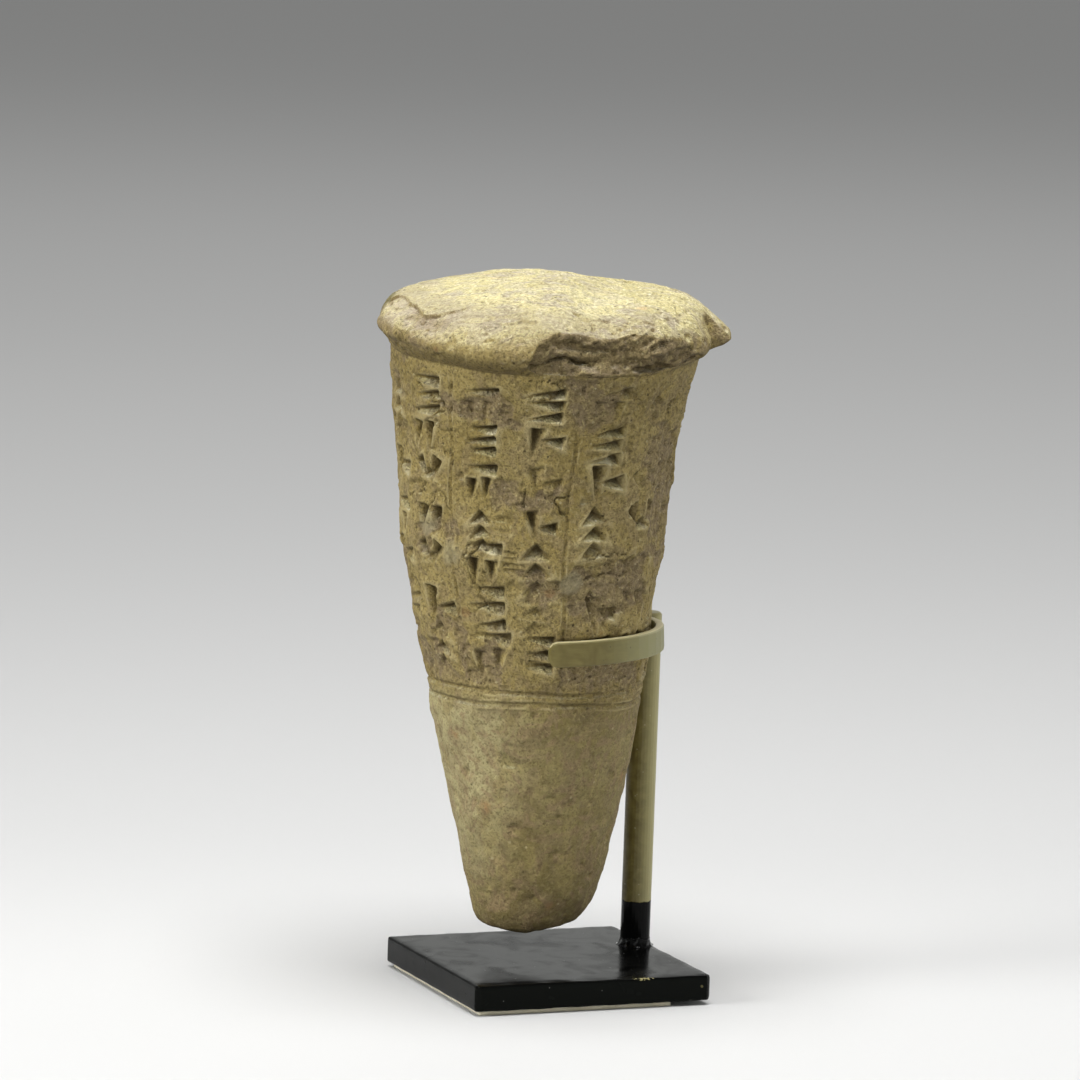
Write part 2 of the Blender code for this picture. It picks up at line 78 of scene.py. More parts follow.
class Wire:
    """One socket of a material's nodes. Sums and products of wires add Math nodes."""

    def __init__(self, tree, socket):
        self.tree = tree
        self.socket = socket

    def node(self, kind, settings, sockets, output=0):
        """Add a node: its settings are set first, then its sockets get values or wires."""
        made = self.tree.nodes.new(kind)
        for name, value in settings.items():
            setattr(made, name, value)
        for name, value in sockets.items():
            if isinstance(value, Wire):
                self.tree.links.new(value.socket, made.inputs[name])
            else:
                made.inputs[name].default_value = value
        return Wire(self.tree, made.outputs[output])

    def sum_of(self, operation, first, second):
        return self.node("ShaderNodeMath", {"operation": operation}, {0: first, 1: second})

    def __add__(self, other):
        return self.sum_of("ADD", self, other)

    def __radd__(self, other):
        return self.sum_of("ADD", other, self)

    def __sub__(self, other):
        return self.sum_of("SUBTRACT", self, other)

    def __rsub__(self, other):
        return self.sum_of("SUBTRACT", other, self)

    def __mul__(self, other):
        return self.sum_of("MULTIPLY", self, other)

    def __rmul__(self, other):
        return self.sum_of("MULTIPLY", other, self)

    def grown(self, low, high):
        """Smooth rise from 0 at low to 1 at high; it falls where low is the larger."""
        settings = {"interpolation_type": "SMOOTHSTEP"}
        if low > high:
            return 1 - self.grown(high, low)
        return self.node(
            "ShaderNodeMapRange", settings, {"Value": self, "From Min": low, "From Max": high}
        )

    def blend(self, under, over):
        """Colour that goes from under to over as this wire goes from 0 to 1."""
        colours = [
            (*colour, 1.0) if isinstance(colour, tuple) else colour for colour in (under, over)
        ]
        return self.node(
            "ShaderNodeMix", {"data_type": "RGBA"}, {0: self, 6: colours[0], 7: colours[1]}, 2
        )

    def tinted(self, colour):
        """This colour multiplied by another."""
        settings = {"data_type": "RGBA", "blend_type": "MULTIPLY"}
        return self.node("ShaderNodeMix", settings, {0: 1.0, 6: self, 7: colour}, 2)

    def noise(self, millimetres, detail=3.0, warp=0.0):
        """Soft noise from 0 to 1 with lumps of about this size, at this place."""
        sockets = {"Vector": self, "Scale": 1000 / millimetres}
        sockets.update({"Detail": detail, "Distortion": warp})
        return self.node("ShaderNodeTexNoise", {}, sockets)

    def specks(self, millimetres, size, share):
        """Round specks: their spacing, their size and the share of places that have one."""
        sockets = {"Vector": self, "Scale": 1000 / millimetres}
        spot = self.node("ShaderNodeTexVoronoi", {}, sockets)
        pick = self.node("ShaderNodeTexVoronoi", {}, sockets, 1)
        chosen = pick.node("ShaderNodeSeparateColor", {}, {0: pick})
        return spot.grown(size, size * 0.6) * chosen.grown(1 - share, 1 - share + 0.02)

    def part(self, axis):
        """One of the three numbers of a place."""
        return self.node("ShaderNodeSeparateXYZ", {}, {0: self}, axis)

    def distance_to(self, point):
        """How far this place is from a point."""
        return self.node("ShaderNodeVectorMath", {"operation": "DISTANCE"}, {0: self, 1: point}, 1)

    def height_map(self, strength, millimetres):
        """Normal of a surface with this relief."""
        sockets = {"Strength": strength, "Distance": millimetres / 1000, "Height": self}
        return self.node("ShaderNodeBump", {}, sockets)


def new_finish(name, roughness, **fixed):
    """New material: the place on the object as a wire, and its shader."""
    material = bpy.data.materials.new(name)
    material.use_nodes = True
    tree = material.node_tree
    shader = tree.nodes["Principled BSDF"]
    shader.inputs["Roughness"].default_value = roughness
    for socket, value in fixed.items():
        shader.inputs[socket.replace("_", " ")].default_value = value
    return material, Wire(tree, None).node("ShaderNodeTexCoord", {}, {}, "Object"), shader


def feed(shader, socket, wire):
    """Lead a wire into one of the shader's sockets."""
    wire.tree.links.new(wire.socket, shader.inputs[socket])


def mesh_piece(name, bm, material):
    """New piece of the object from a mesh in the making, riding on the one body."""
    mesh = bpy.data.meshes.new(name)
    bm.to_mesh(mesh)
    bm.free()
    piece = bpy.data.objects.new(name, mesh)
    bpy.context.scene.collection.objects.link(piece)
    mesh.materials.append(material)
    mesh.shade_smooth()
    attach(piece, "root")
    return piece


wool_felt, place, shader = new_finish("wool_felt", 0.95, Sheen_Weight=0.4)
fibres = place.noise(0.25, 4.0, 2.0)
tone = fibres.blend((0.78, 0.70, 0.50), (0.96, 0.91, 0.72))
feed(shader, "Base Color", (0.6 * place.noise(4.0).grown(0.4, 0.7)).blend(tone, (0.84, 0.76, 0.55)))
feed(shader, "Normal", fibres.height_map(0.8, 0.15))

draw = random.Random(5)
low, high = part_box("felt_pad")
bm = bmesh.new()
bmesh.ops.create_grid(bm, x_segments=FELT_STEPS, y_segments=FELT_STEPS, size=0.5)
border = {vert for vert in bm.verts if vert.is_boundary}
for vert in bm.verts:
    vert.co.x = (low.x + high.x) / 2 + vert.co.x * (high.x - low.x)
    vert.co.y = (low.y + high.y) / 2 + vert.co.y * (high.y - low.y)
    vert.co.z = FELT_TOP
    if vert in border:
        shear = FELT_SHEAR * math.sin(vert.co.x * 900) * math.cos(vert.co.y * 700)
        inward = Vector((low.x + high.x - 2 * vert.co.x, -2 * vert.co.y, 0)).normalized()
        vert.co += inward * (FELT_SHEAR + 0.5 * shear + draw.uniform(0, FELT_FUZZ))
skin = bmesh.ops.extrude_face_region(bm, geom=bm.faces[:])
for vert in skin["geom"]:
    if isinstance(vert, bmesh.types.BMVert):
        vert.co.z = draw.uniform(0.0, FELT_FUZZ / 2)
bmesh.ops.recalc_face_normals(bm, faces=bm.faces)
felt = mesh_piece("felt", bm, wool_felt)
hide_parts("felt_pad")


# Base plate
# A square of steel flat bar, its edges eased with a file, sprayed with gloss black enamel. The
# enamel has fine dust in it and has chipped off the front edge, down to a yellowish primer.

PLATE_CHIP = Vector((0.0105, -0.0250, 0.0061))
CHIP_HALF_SIZE = (0.0022, 0.0009, 0.0005)
CORNER_CHIP = PLATE_CHIP + Vector((0.0125, 0.0, -0.0022))
CORNER_CHIP_HALF_SIZE = (0.0003, 0.0006, 0.0003)
ENAMEL = (0.0022, 0.0022, 0.0021)
ENAMEL_SHEEN = (0.86, 0.97, 0.84, 1.0)
DUST = (0.30, 0.30, 0.28)
PRIMER = (0.34, 0.30, 0.14)
PLATE_CORNER = 0.0010
PLATE_EDGE = 0.0004
PLATE_CUTS = 30
PLATE_WAVE = 0.00004
PLATE_FUZZ = 0.00003

gloss_enamel, place, shader = new_finish("gloss_enamel", 0.1, IOR=1.17, Specular_Tint=ENAMEL_SHEEN)


def chip(place, centre, half_size):
    """1 inside a ragged oval spot round a point, 0 outside it."""
    stretched = place.node(
        "ShaderNodeMapping", {},
        {"Vector": place, "Location": [-c / h for c, h in zip(centre, half_size)],
         "Scale": [1 / h for h in half_size]},
    )
    away = stretched.node("ShaderNodeVectorMath", {"operation": "LENGTH"}, {0: stretched}, 1)
    return (away + 0.9 * place.noise(0.9)).grown(1.5, 1.3)


dust = place.specks(1.6, 0.11, 0.22)
smudge = place.noise(9.0, 2.0, 1.5)
bare = chip(place, PLATE_CHIP, CHIP_HALF_SIZE) * place.noise(0.5, 2.0, 0.8).grown(0.50, 0.54)
bare = bare + 0.3 * chip(place, CORNER_CHIP, CORNER_CHIP_HALF_SIZE)
colour = (dust * 0.35).blend(ENAMEL, DUST)
feed(shader, "Base Color", bare.blend(colour, PRIMER))
feed(shader, "Roughness", 0.12 + 0.16 * smudge.grown(0.35, 0.75) + 0.5 * dust + 0.5 * bare)
relief = 0.5 * place.noise(1.8, 2.0) + dust * 0.5 - bare * 0.8
feed(shader, "Normal", relief.height_map(0.12, 0.06))

low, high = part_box("base_plate")
draw = random.Random(8)
bm = bmesh.new()
bmesh.ops.create_cube(bm, size=1.0)
bmesh.ops.scale(bm, vec=high - low, verts=bm.verts)
bmesh.ops.translate(bm, vec=(low + high) / 2, verts=bm.verts)
corners = [side for side in bm.edges if abs(side.verts[0].co.z - side.verts[1].co.z) > PLATE_EDGE]
bmesh.ops.bevel(bm, geom=corners, offset=PLATE_CORNER, segments=6, profile=0.5, affect="EDGES")
rims = [side for side in bm.edges if abs(side.verts[0].co.z - side.verts[1].co.z) < PLATE_EDGE]
bmesh.ops.bevel(bm, geom=rims, offset=PLATE_EDGE, segments=4, profile=0.5, affect="EDGES")
for axis in range(3):
    across = Vector(float(other == axis) for other in range(3))
    span = high[axis] - low[axis]
    cuts = [low[axis] + span * step / PLATE_CUTS for step in range(1, PLATE_CUTS)]
    cuts = [cut for cut in cuts if low[axis] + PLATE_CORNER < cut < high[axis] - PLATE_CORNER]
    for cut in [low[axis] + 2 * PLATE_EDGE, *cuts, high[axis] - 2 * PLATE_EDGE]:
        geometry = bm.verts[:] + bm.edges[:] + bm.faces[:]
        bmesh.ops.bisect_plane(bm, geom=geometry, dist=1e-7, plane_co=across * cut, plane_no=across)
for vert in bm.verts:
    near = [
        min(vert.co[axis] - low[axis], high[axis] - vert.co[axis]) < 2 * PLATE_EDGE for axis in range(3)
    ]
    if sum(near) > 1:
        wave = 1 + math.sin(820 * vert.co.x + 1.0) * math.cos(760 * vert.co.y)
        for axis in range(3):
            side = 1 if vert.co[axis] < (low[axis] + high[axis]) / 2 else -1
            vert.co[axis] += side * near[axis] * (PLATE_WAVE * wave + draw.uniform(0, PLATE_FUZZ))
enamelled_plate = mesh_piece("enamelled_plate", bm, gloss_enamel)
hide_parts("base_plate")


# Upright rod
# Round steel bar welded to the plate at its back right. It is painted khaki by hand to go with the
# clay, down to a ragged line just over the foot, which stays in the plate's black enamel.

ENAMEL_TOP = 0.0154
KHAKI_LOW = (0.130, 0.104, 0.030)
KHAKI_HIGH = (0.205, 0.170, 0.055)
KHAKI_LIT_SIDE = (0.385, 0.35, 0.165)
KHAKI_FLECK = (0.40, 0.36, 0.24)

rod_low, rod_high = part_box("upright_rod")
foot_x = (rod_low.x + rod_high.x) / 2
foot_y = (rod_low.y + rod_high.y) / 2

painted_rod, place, shader = new_finish("painted_rod", 0.5, IOR=1.17, Coat_Roughness=0.35)
brush = place.noise(2.6, 3.0, 1.2)
fleck = place.specks(1.1, 0.2, 0.25)
paint = brush.grown(0.25, 0.75).blend(KHAKI_LOW, KHAKI_HIGH)
paint = (fleck * 0.5).blend(paint, KHAKI_FLECK)
# Painted light: the rod's right side is painted paler khaki, standing in for the light that falls on that
# side.
paint = (0.9 * place.part(0).grown(foot_x - 0.0020, foot_x + 0.0022)).blend(paint, KHAKI_LIT_SIDE)
height = place.part(2)
painted = (height + 0.0007 * place.noise(1.4)).grown(ENAMEL_TOP + 0.0002, ENAMEL_TOP + 0.0005)
feed(shader, "Base Color", painted.blend(ENAMEL, paint))
feed(shader, "Roughness", 0.12 + painted * (0.32 + 0.22 * brush))
feed(shader, "Coat Weight", painted * 0.45)
feed(shader, "Normal", (painted * (brush + 0.5 * place.noise(0.5))).height_map(0.25, 0.12))
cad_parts["upright_rod"].material_slots[0].material = painted_rod


# Weld bead
# The ring of weld round the rod's foot, laid by hand in short runs. The gloss enamel that was
# sprayed over it has run together with the plate's in one smooth hollow curve.

BEAD_RADIUS = 0.00305
BEAD_WIDTH = 0.0008
BEAD_HEIGHT = 0.0017
BEAD_IN_ROD = 0.0003
BEAD_RIPPLE = 0.00004
BEAD_LIFT = 0.00002
BEAD_TURNS = 96
BEAD_SIDES = 12

plate_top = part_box("base_plate")[1].z
thick_enamel, place, shader = new_finish("thick_enamel", 0.1, IOR=1.2, Coat_Roughness=0.06)
feed(shader, "Base Color", (0.3 * place.specks(1.6, 0.11, 0.22)).blend(ENAMEL, DUST))
feed(shader, "Roughness", 0.08 + 0.12 * place.noise(1.5))
feed(shader, "Coat Weight", place.noise(1.3, 1.0).grown(0.56, 0.62))
feed(shader, "Normal", (place.noise(1.1, 2.0) + 0.3 * place.noise(0.4)).height_map(0.4, 0.3))

bm = bmesh.new()
rings = []
for turn in range(BEAD_TURNS):
    angle = 2 * math.pi * turn / BEAD_TURNS
    swell = 1 + 0.08 * math.sin(3 * angle + 0.7) + 0.06 * math.sin(8 * angle + 2.0)
    inside = BEAD_RADIUS - BEAD_IN_ROD
    ring = [(inside, 0.0), (inside, BEAD_HEIGHT * swell)]
    for side in range(BEAD_SIDES + 1):
        lean = math.pi / 2 * side / BEAD_SIDES
        ripple = BEAD_RIPPLE * math.sin(2 * lean) * math.sin(11 * angle + 3 * lean)
        out = BEAD_RADIUS + BEAD_WIDTH * swell * (1 - math.cos(lean)) + ripple
        ring.append((out, BEAD_HEIGHT * swell * (1 - math.sin(lean)) + BEAD_LIFT))
    ahead, aside = math.cos(angle), math.sin(angle)
    rings.append([
        bm.verts.new((foot_x + out * ahead, foot_y + out * aside, plate_top + up)) for out, up in ring
    ])
for first, second in zip(rings, rings[1:] + rings[:1]):
    for side in range(len(first)):
        after = (side + 1) % len(first)
        bm.faces.new((first[side], first[after], second[after], second[side]))
bmesh.ops.recalc_face_normals(bm, faces=bm.faces)
mesh_piece("weld_bead", bm, thick_enamel)


# Holding band
# A strip of steel bar bent round the cone's section and let into a notch in the rod. It carries the
# rod's khaki paint, brushed along the strip, with a painted highlight along its upper edge and
# painted light on its right part.

KHAKI_LIT_RIGHT = (0.285, 0.275, 0.125)
KHAKI_TOP_HIGHLIGHT = (0.595, 0.53, 0.30)
GRIME_FLECK = (0.08, 0.07, 0.04)

painted_band, place, shader = new_finish("painted_band", 0.45, IOR=1.4)
brush = place.noise(3.2, 3.0, 0.8)
streak = place.node("ShaderNodeMapping", {}, {"Vector": place, "Scale": (1.0, 1.0, 7.0)})
streak = streak.noise(3.0, 3.0)
paint = (0.7 * brush + 0.3 * streak).grown(0.25, 0.85).blend(KHAKI_LOW, KHAKI_HIGH)
# Painted light: the band's right part is painted paler, standing in for the sheen that the light puts there.
paint = (0.8 * place.part(0).grown(-0.003, 0.014)).blend(paint, KHAKI_LIT_RIGHT)
paint = (place.specks(1.3, 0.16, 0.2) * 0.6).blend(paint, GRIME_FLECK)
# Painted highlight: faces of the band that look upward, mostly its upper edge, are painted pale.
lit_top_edge = place.node("ShaderNodeNewGeometry", {}, {}, "Normal").part(2).grown(0.25, 0.8)
paint = (0.9 * lit_top_edge).blend(paint, KHAKI_TOP_HIGHLIGHT)
feed(shader, "Base Color", paint)
feed(shader, "Roughness", 0.32 + 0.3 * brush)
feed(shader, "Normal", (brush + 0.3 * streak).height_map(0.2, 0.12))
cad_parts["holding_band"].material_slots[0].material = painted_band


# Foundation cone
# A spike of coarse clay rolled and smoothed by hand, with a domed head, pressed all round with the
# corner of a reed stylus while it was damp, and fired. The front right of the rim has broken away.
# It hangs in the band by its taper. Its form is written in real millimetres from the tip up.

CONE_LENGTH = 0.1305
CONE_TURN = math.radians(-22.5)
ROD_BEARING = math.radians(32.5)
ROD_RADIUS = 0.0030
ROD_CONE_CLEARANCE = 0.0005
BAND_LEVEL = 0.0569
BAND_HEIGHT = 0.0050
BAND_TILT = math.radians(2.5)
TIP_LEVEL = 0.0111
REAL_LENGTH = 130.5
CLAY_MM = CONE_LENGTH / REAL_LENGTH
BODY_PROFILE = (
    (0.2, 5.8), (0.8, 8.6), (2.2, 10.3), (4.6, 11.5), (9.0, 12.8), (14.0, 14.2), (20.0, 15.4),
    (28.0, 17.0), (36.0, 18.7), (45.0, 20.5), (54.0, 22.0), (60.0, 23.2), (69.0, 24.6),
    (78.0, 26.0), (87.0, 26.6), (96.0, 27.5), (105.0, 28.7), (116.4, 30.3),
)
HEAD_UNDERSIDE = (
    (0.0, 30.2), (0.5, 31.0), (1.2, 32.2), (2.0, 33.2), (2.8, 33.7),
)
LOBES_AT_MOST = 0.27
NECK_LEVEL = 117.15
RIM_LEVEL = 120.65
RIM_RADIUS = 33.9
DOME_RISE = 9.85
CENTRE_DRIFT = (
    (0.0, 0.1), (5.0, 0.5), (10.0, 0.9), (30.0, 0.8), (45.0, 0.25), (57.0, -0.05), (66.0, -0.3),
    (78.0, -1.05), (88.0, -1.4), (100.0, -1.2), (110.0, -0.55), (122.0, 0.2), (132.0, 0.2),
)
HEAD_LEAN_FORWARD = 0.088
HEAD_LEAN_RIGHT = 0.015
LEAN_START = 96.0
RIM_OUTLINE = (
    (-180, 0.3), (-152, 0.9), (-128, 0.5), (-112, 0.3), (-99, 0.1), (-92, -0.4), (-80, 0.0),
    (-55, -0.3), (-30, 0.2), (-8, -0.1), (20, -0.4), (50, -0.2), (66, 0.3), (70, 0.4), (75, 0.8),
    (81, 1.6), (88, 2.3), (97, 2.4), (108, 1.2), (126, 0.4), (150, -0.5), (180, 0.3),
)
TOP_TRIM = (
    (-36.0, 0.0), (-31.0, 0.4), (-27.0, 0.0), (-22.0, -0.5), (-15.0, -0.5), (-8.0, -0.1),
    (0.0, 0.25), (4.0, 0.1), (7.0, -0.55), (11.0, -0.95), (15.0, -0.7), (19.0, -0.2), (26.0, 0.6),
    (27.9, 0.6), (29.5, 0.35), (31.0, -0.15), (32.6, -0.8), (34.2, -1.25), (35.8, -1.0),
    (38.0, -0.2),
)
UNDERCUT = (
    (-130.0, 0.0), (-112.0, 0.5), (-85.0, 1.1), (-62.0, 0.9), (-40.0, 0.2), (-20.0, 0.0),
    (70.0, 0.0), (80.0, 0.9), (88.0, 1.8), (98.0, 1.4), (112.0, 0.3), (125.0, 0.0),
)
TIP_STEP = (
    (64.0, 0.0), (70.0, 0.3), (75.0, 1.3), (80.0, 2.6), (84.2, 3.2), (85.6, 0.0),
)
BREAK_EDGE = (
    (-6.0, 37.0), (-4.0, 34.2), (-2.7, 32.8), (0.9, 31.5), (3.6, 31.0), (7.2, 30.7), (14.0, 30.0),
    (20.0, 30.1), (27.0, 30.3), (33.0, 30.1), (37.0, 31.1), (40.5, 31.7), (44.5, 32.3),
    (51.0, 33.0), (57.0, 33.7), (64.0, 37.0),
)
BREAK_RADIUS = 30.1
BREAK_FOOT = (
    (-8.0, 37.0), (-5.0, 32.0), (0.0, 30.8), (15.0, 30.6), (30.0, 30.4), (44.0, 30.4), (52.0, 31.0),
    (60.0, 31.8), (66.0, 33.0), (70.0, 37.0),
)
FLAKE_EDGE = (
    (-100.0, 33.0), (-84.0, 29.3), (-75.0, 28.6), (-66.0, 28.7), (-62.0, 29.2), (-58.0, 29.9),
    (-54.0, 30.0), (-50.4, 29.6), (-46.8, 28.8), (-44.5, 28.1), (-40.9, 26.5), (-35.0, 25.0),
    (-28.0, 23.8),
)
CRACK_RADIUS = 31.0
CRACK = (
    (-8.0, 117.9), (-5.4, 118.8), (-0.9, 119.4), (3.2, 120.6), (7.2, 121.1), (8.5, 120.8),
    (11.2, 120.1), (15.8, 120.1), (19.0, 120.3),
)
RED_SPOTS = (
    (-32.9, 27.6, 1.9), (18.5, 7.5, 1.1), (-51.8, 41.1, 0.9), (70.0, 33.0, 1.6), (-150.0, 22.0, 2.0),
)
CRUSTS = (
    (21.6, 89.5, 3.5), (16.0, 74.0, 2.6), (-38.0, 77.5, 4.0), (-52.0, 84.0, 3.0), (150.0, 70.0, 4.0),
)
DENTS = (
    (90, 68.5, 26, 8.0, 1.1), (43, 54.5, 12, 3.5, 0.7), (-96, 84.0, 14, 4.0, 0.4),
    (60, 106.0, 16, 9.0, 0.5), (150, 88.0, 20, 10.0, 0.6), (-160, 62.0, 16, 7.0, 0.5),
    (88, 102.5, 24, 10.0, 0.45), (-88, 116.0, 22, 7.0, -0.6),
)
RING_LINES = (48.7, 51.1)
COLUMN_COUNT = 7
FIRST_LINE = 14.5
ROW_COUNT = 7
TOP_ROW = 110.0
ROW_PITCH = 8.5
STROKE_SEED = 271
SCRATCH_SEED = 9
SCRATCH_GROUPS = 34

GRID_MM = 0.26
COLUMNS = 800
TRIANGLES = 190000


def follow(table, value):
    """Smooth curve through a table of (position, amount), for an array of positions."""
    places, amounts = np.array(table, float).T
    slopes = np.gradient(amounts)
    slopes[1:-1] = (amounts[2:] - amounts[:-2]) / (places[2:] - places[:-2])
    slopes[0] = (amounts[1] - amounts[0]) / (places[1] - places[0])
    slopes[-1] = (amounts[-1] - amounts[-2]) / (places[-1] - places[-2])
    value = np.clip(value, places[0], places[-1])
    low = np.clip(np.searchsorted(places, value) - 1, 0, len(places) - 2)
    span = places[low + 1] - places[low]
    share = (value - places[low]) / span
    square = share * share
    cube = square * share
    return (
        (2 * cube - 3 * square + 1) * amounts[low]
        + (cube - 2 * square + share) * span * slopes[low]
        + (3 * square - 2 * cube) * amounts[low + 1]
        + (cube - square) * span * slopes[low + 1]
    )


def ease(low, high, value):
    """Smooth step from 0 at low to 1 at high."""
    share = np.clip((value - low) / (high - low), 0.0, 1.0)
    return share * share * (3 - 2 * share)


def turn_between(bearing, other):
    """Smallest turn in degrees from one bearing to another."""
    return (bearing - other + 180) % 360 - 180


def lumps(places, millimetres, seed):
    """Soft noise from -1 to 1 with lumps of about this size, at places in millimetres."""
    lattice = np.random.default_rng(seed).uniform(-1, 1, (48, 48, 48))
    spot = places / millimetres
    low = np.floor(spot).astype(int)
    share = spot - low
    share = share * share * (3 - 2 * share)
    total = np.zeros(places.shape[:-1])
    for corner in range(8):
        step = np.array([corner & 1, corner >> 1 & 1, corner >> 2])
        weight = np.prod(np.where(step, share, 1 - share), axis=-1)
        index = (low + step) % 48
        total += weight * lattice[index[..., 0], index[..., 1], index[..., 2]]
    return total


def rim_radius_left(bearing, rise):
    """Radius that the break leaves at a bearing, at a rise above the neck line."""
    edge = follow(BREAK_EDGE, bearing)
    foot = follow(BREAK_FOOT, bearing)
    return foot + (edge - foot) * ease(1.0, 5.0, rise)


def clay_places(angle, radius, height):
    """Places of points of the turned form, in millimetres, once the clay is bent and worn."""
    bearing = turn_between(np.degrees(angle), -90)
    rise = height - NECK_LEVEL
    on_head = ease(NECK_LEVEL - 1.0, NECK_LEVEL + 3.0, height)
    lobes = 0.15 * np.sin(2 * angle + 0.6) + 0.12 * np.sin(3 * angle + height * 0.06)
    radius = radius + lobes * np.minimum(1.0, radius / 20)
    outline = follow(RIM_OUTLINE, bearing) * ease(22, 33, radius)
    outline = outline - follow(TIP_STEP, bearing) * ease(29, 33, radius)
    radius = radius + outline * ease(0.4, 3.0, rise)
    radius = radius - follow(UNDERCUT, bearing) * ease(0.3, 1.4, rise) * (1 - ease(1.8, 4.2, rise))
    radius = np.where(rise > 0.5, np.minimum(radius, rim_radius_left(bearing, rise)), radius)
    for place, level, half_angle, half_height, depth in DENTS:
        across = turn_between(bearing, place) / half_angle
        along = (height - level) / half_height
        radius = radius - depth * np.clip(1 - across ** 2 - along ** 2, 0, 1) * (1 - on_head)
    x = follow(CENTRE_DRIFT, height) + radius * np.cos(angle)
    y = radius * np.sin(angle)
    lean = ease(LEAN_START, NECK_LEVEL, height)
    z = height + lean * (HEAD_LEAN_FORWARD * y - HEAD_LEAN_RIGHT * x)
    z = z + 0.14 * np.maximum(0.0, x) * (1 - ease(0.0, 9.0, height))
    swell = 0.35 * np.sin(x * 0.16 + 0.8) * np.cos(y * 0.14 - 0.4)
    z = z + np.where(rise > 6, swell * ease(6, 9, rise), 0.0)
    z = z + follow(TOP_TRIM, x) * ease(3.5, 7.0, rise)
    return np.stack((x, y, z), axis=-1)


# The profile from the middle of the head to the tip, in even steps, its corners rubbed round

sine = np.sin(np.radians(np.linspace(0, 90, 400)))
outline = [np.stack((RIM_RADIUS * sine ** (2 / 3), RIM_LEVEL + DOME_RISE * np.sqrt(1 - sine ** 2)))]
rise = np.linspace(2.8, 0.0, 60)
outline.append(np.stack((follow(HEAD_UNDERSIDE, rise), NECK_LEVEL + rise)))
level = np.linspace(116.4, 0.2, 2000)
outline.append(np.stack((follow(BODY_PROFILE, level), level)))
outline.append(np.array([[0.0], [0.0]]))
outline = np.concatenate(outline, axis=1)
arc = np.concatenate(([0], np.cumsum(np.hypot(*np.diff(outline, axis=1)))))
rows = int(arc[-1] / GRID_MM)
even = np.linspace(0, arc[-1], rows)
profile_radius = np.interp(even, arc, outline[0])
profile_height = np.interp(even, arc, outline[1])
for _ in range(3):
    profile_radius[1:-1] = (profile_radius[:-2] + 2 * profile_radius[1:-1] + profile_radius[2:]) / 4
    profile_height[1:-1] = (profile_height[:-2] + 2 * profile_height[1:-1] + profile_height[2:]) / 4

angle = np.linspace(0, 2 * math.pi, COLUMNS, endpoint=False)
angle_grid, height_grid = np.meshgrid(angle, profile_height)
radius_grid = np.repeat(profile_radius[:, None], COLUMNS, axis=1)
surface = clay_places(angle_grid, radius_grid, height_grid)
bearing_grid = turn_between(np.degrees(angle_grid), -90)


def outward_of(surface):
    """Outward directions of a closed grid that runs from the head's middle down to the tip."""
    down = np.gradient(surface, axis=0)
    ahead = np.roll(surface, -1, axis=1) - np.roll(surface, 1, axis=1)
    out = np.cross(down, ahead)
    size = np.linalg.norm(out, axis=-1, keepdims=True)
    out = out / np.maximum(size, 1e-9)
    out[0] = (0, 0, 1)
    out[-1] = (0, 0, -1)
    return out


def soften(values, passes):
    """Rub a grid of values smooth, round and up and down."""
    for _ in range(passes):
        values = (np.roll(values, 1, axis=1) + 2 * values + np.roll(values, -1, axis=1)) / 4
        values[1:-1] = (values[:-2] + 2 * values[1:-1] + values[2:]) / 4
    return values


# Strokes of the stylus: rows of plain marks that spell nothing

def stroke_group(draw, kind):
    """Strokes of one group: place across and up, lean in degrees, length, width and depth."""
    depth = draw.uniform(1.1, 1.5)
    size = draw.uniform(0.88, 1.15)
    if kind == "uprights":
        group = [(side * 1.9, 3.4, -90, 7.0, 3.1) for side in (-1, 1)]
    elif kind == "levels":
        group = [(3.7, up, 180, 7.2, 2.4) for up in (2.7, 0.0, -2.7)]
    elif kind == "corners":
        group = [(0.0, up, 90, 3.0, 5.6) for up in (1.0, -2.1, -5.2)]
    elif kind == "gate":
        group = [(3.9, 3.0, 180, 7.4, 2.5), (-1.8, 1.0, -90, 5.0, 2.5), (1.8, 1.0, -90, 5.0, 2.5)]
    elif kind == "cross":
        group = [(-0.8, 3.6, -90, 7.4, 3.1), (4.4, 0.3, 180, 5.6, 2.6)]
    else:
        group = [(-2.7, 3.0, -62, 6.0, 2.8), (2.7, 3.0, -118, 6.0, 2.8), (0.0, -1.2, 90, 2.4, 4.4)]
    return [
        (across * size, up * size + draw.uniform(-0.3, 0.3), lean + draw.uniform(-7, 7),
         length * size * draw.uniform(0.85, 1.1), width * size, depth)
        for across, up, lean, length, width in group
    ]


def strokes():
    """All pressed strokes: bearing and height of the head, lean, length, width and depth."""
    draw = random.Random(STROKE_SEED)
    kinds = ("uprights", "levels", "corners", "gate", "cross", "fan")
    column_turn = 360 / COLUMN_COUNT
    for column in range(COLUMN_COUNT):
        for row in range(ROW_COUNT):
            for half in (-1, 1):
                kind = draw.choice(kinds)
                middle_height = TOP_ROW - row * ROW_PITCH + draw.uniform(-0.8, 0.8)
                middle = FIRST_LINE + (column + 0.5 + half * 0.235) * column_turn
                middle += draw.uniform(-1.5, 1.5)
                wear = draw.choice((0.4, 0.7, 0.9, 1.0))
                degrees_per_mm = math.degrees(1 / float(follow(BODY_PROFILE, middle_height)))
                for across, up, lean, length, width, depth in stroke_group(draw, kind):
                    bearing = turn_between(middle + across * degrees_per_mm, 0)
                    height = middle_height + up
                    if height + max(0.0, length * math.sin(math.radians(lean))) < TOP_ROW + 4.5:
                        yield bearing, height, lean, length, width, depth * wear


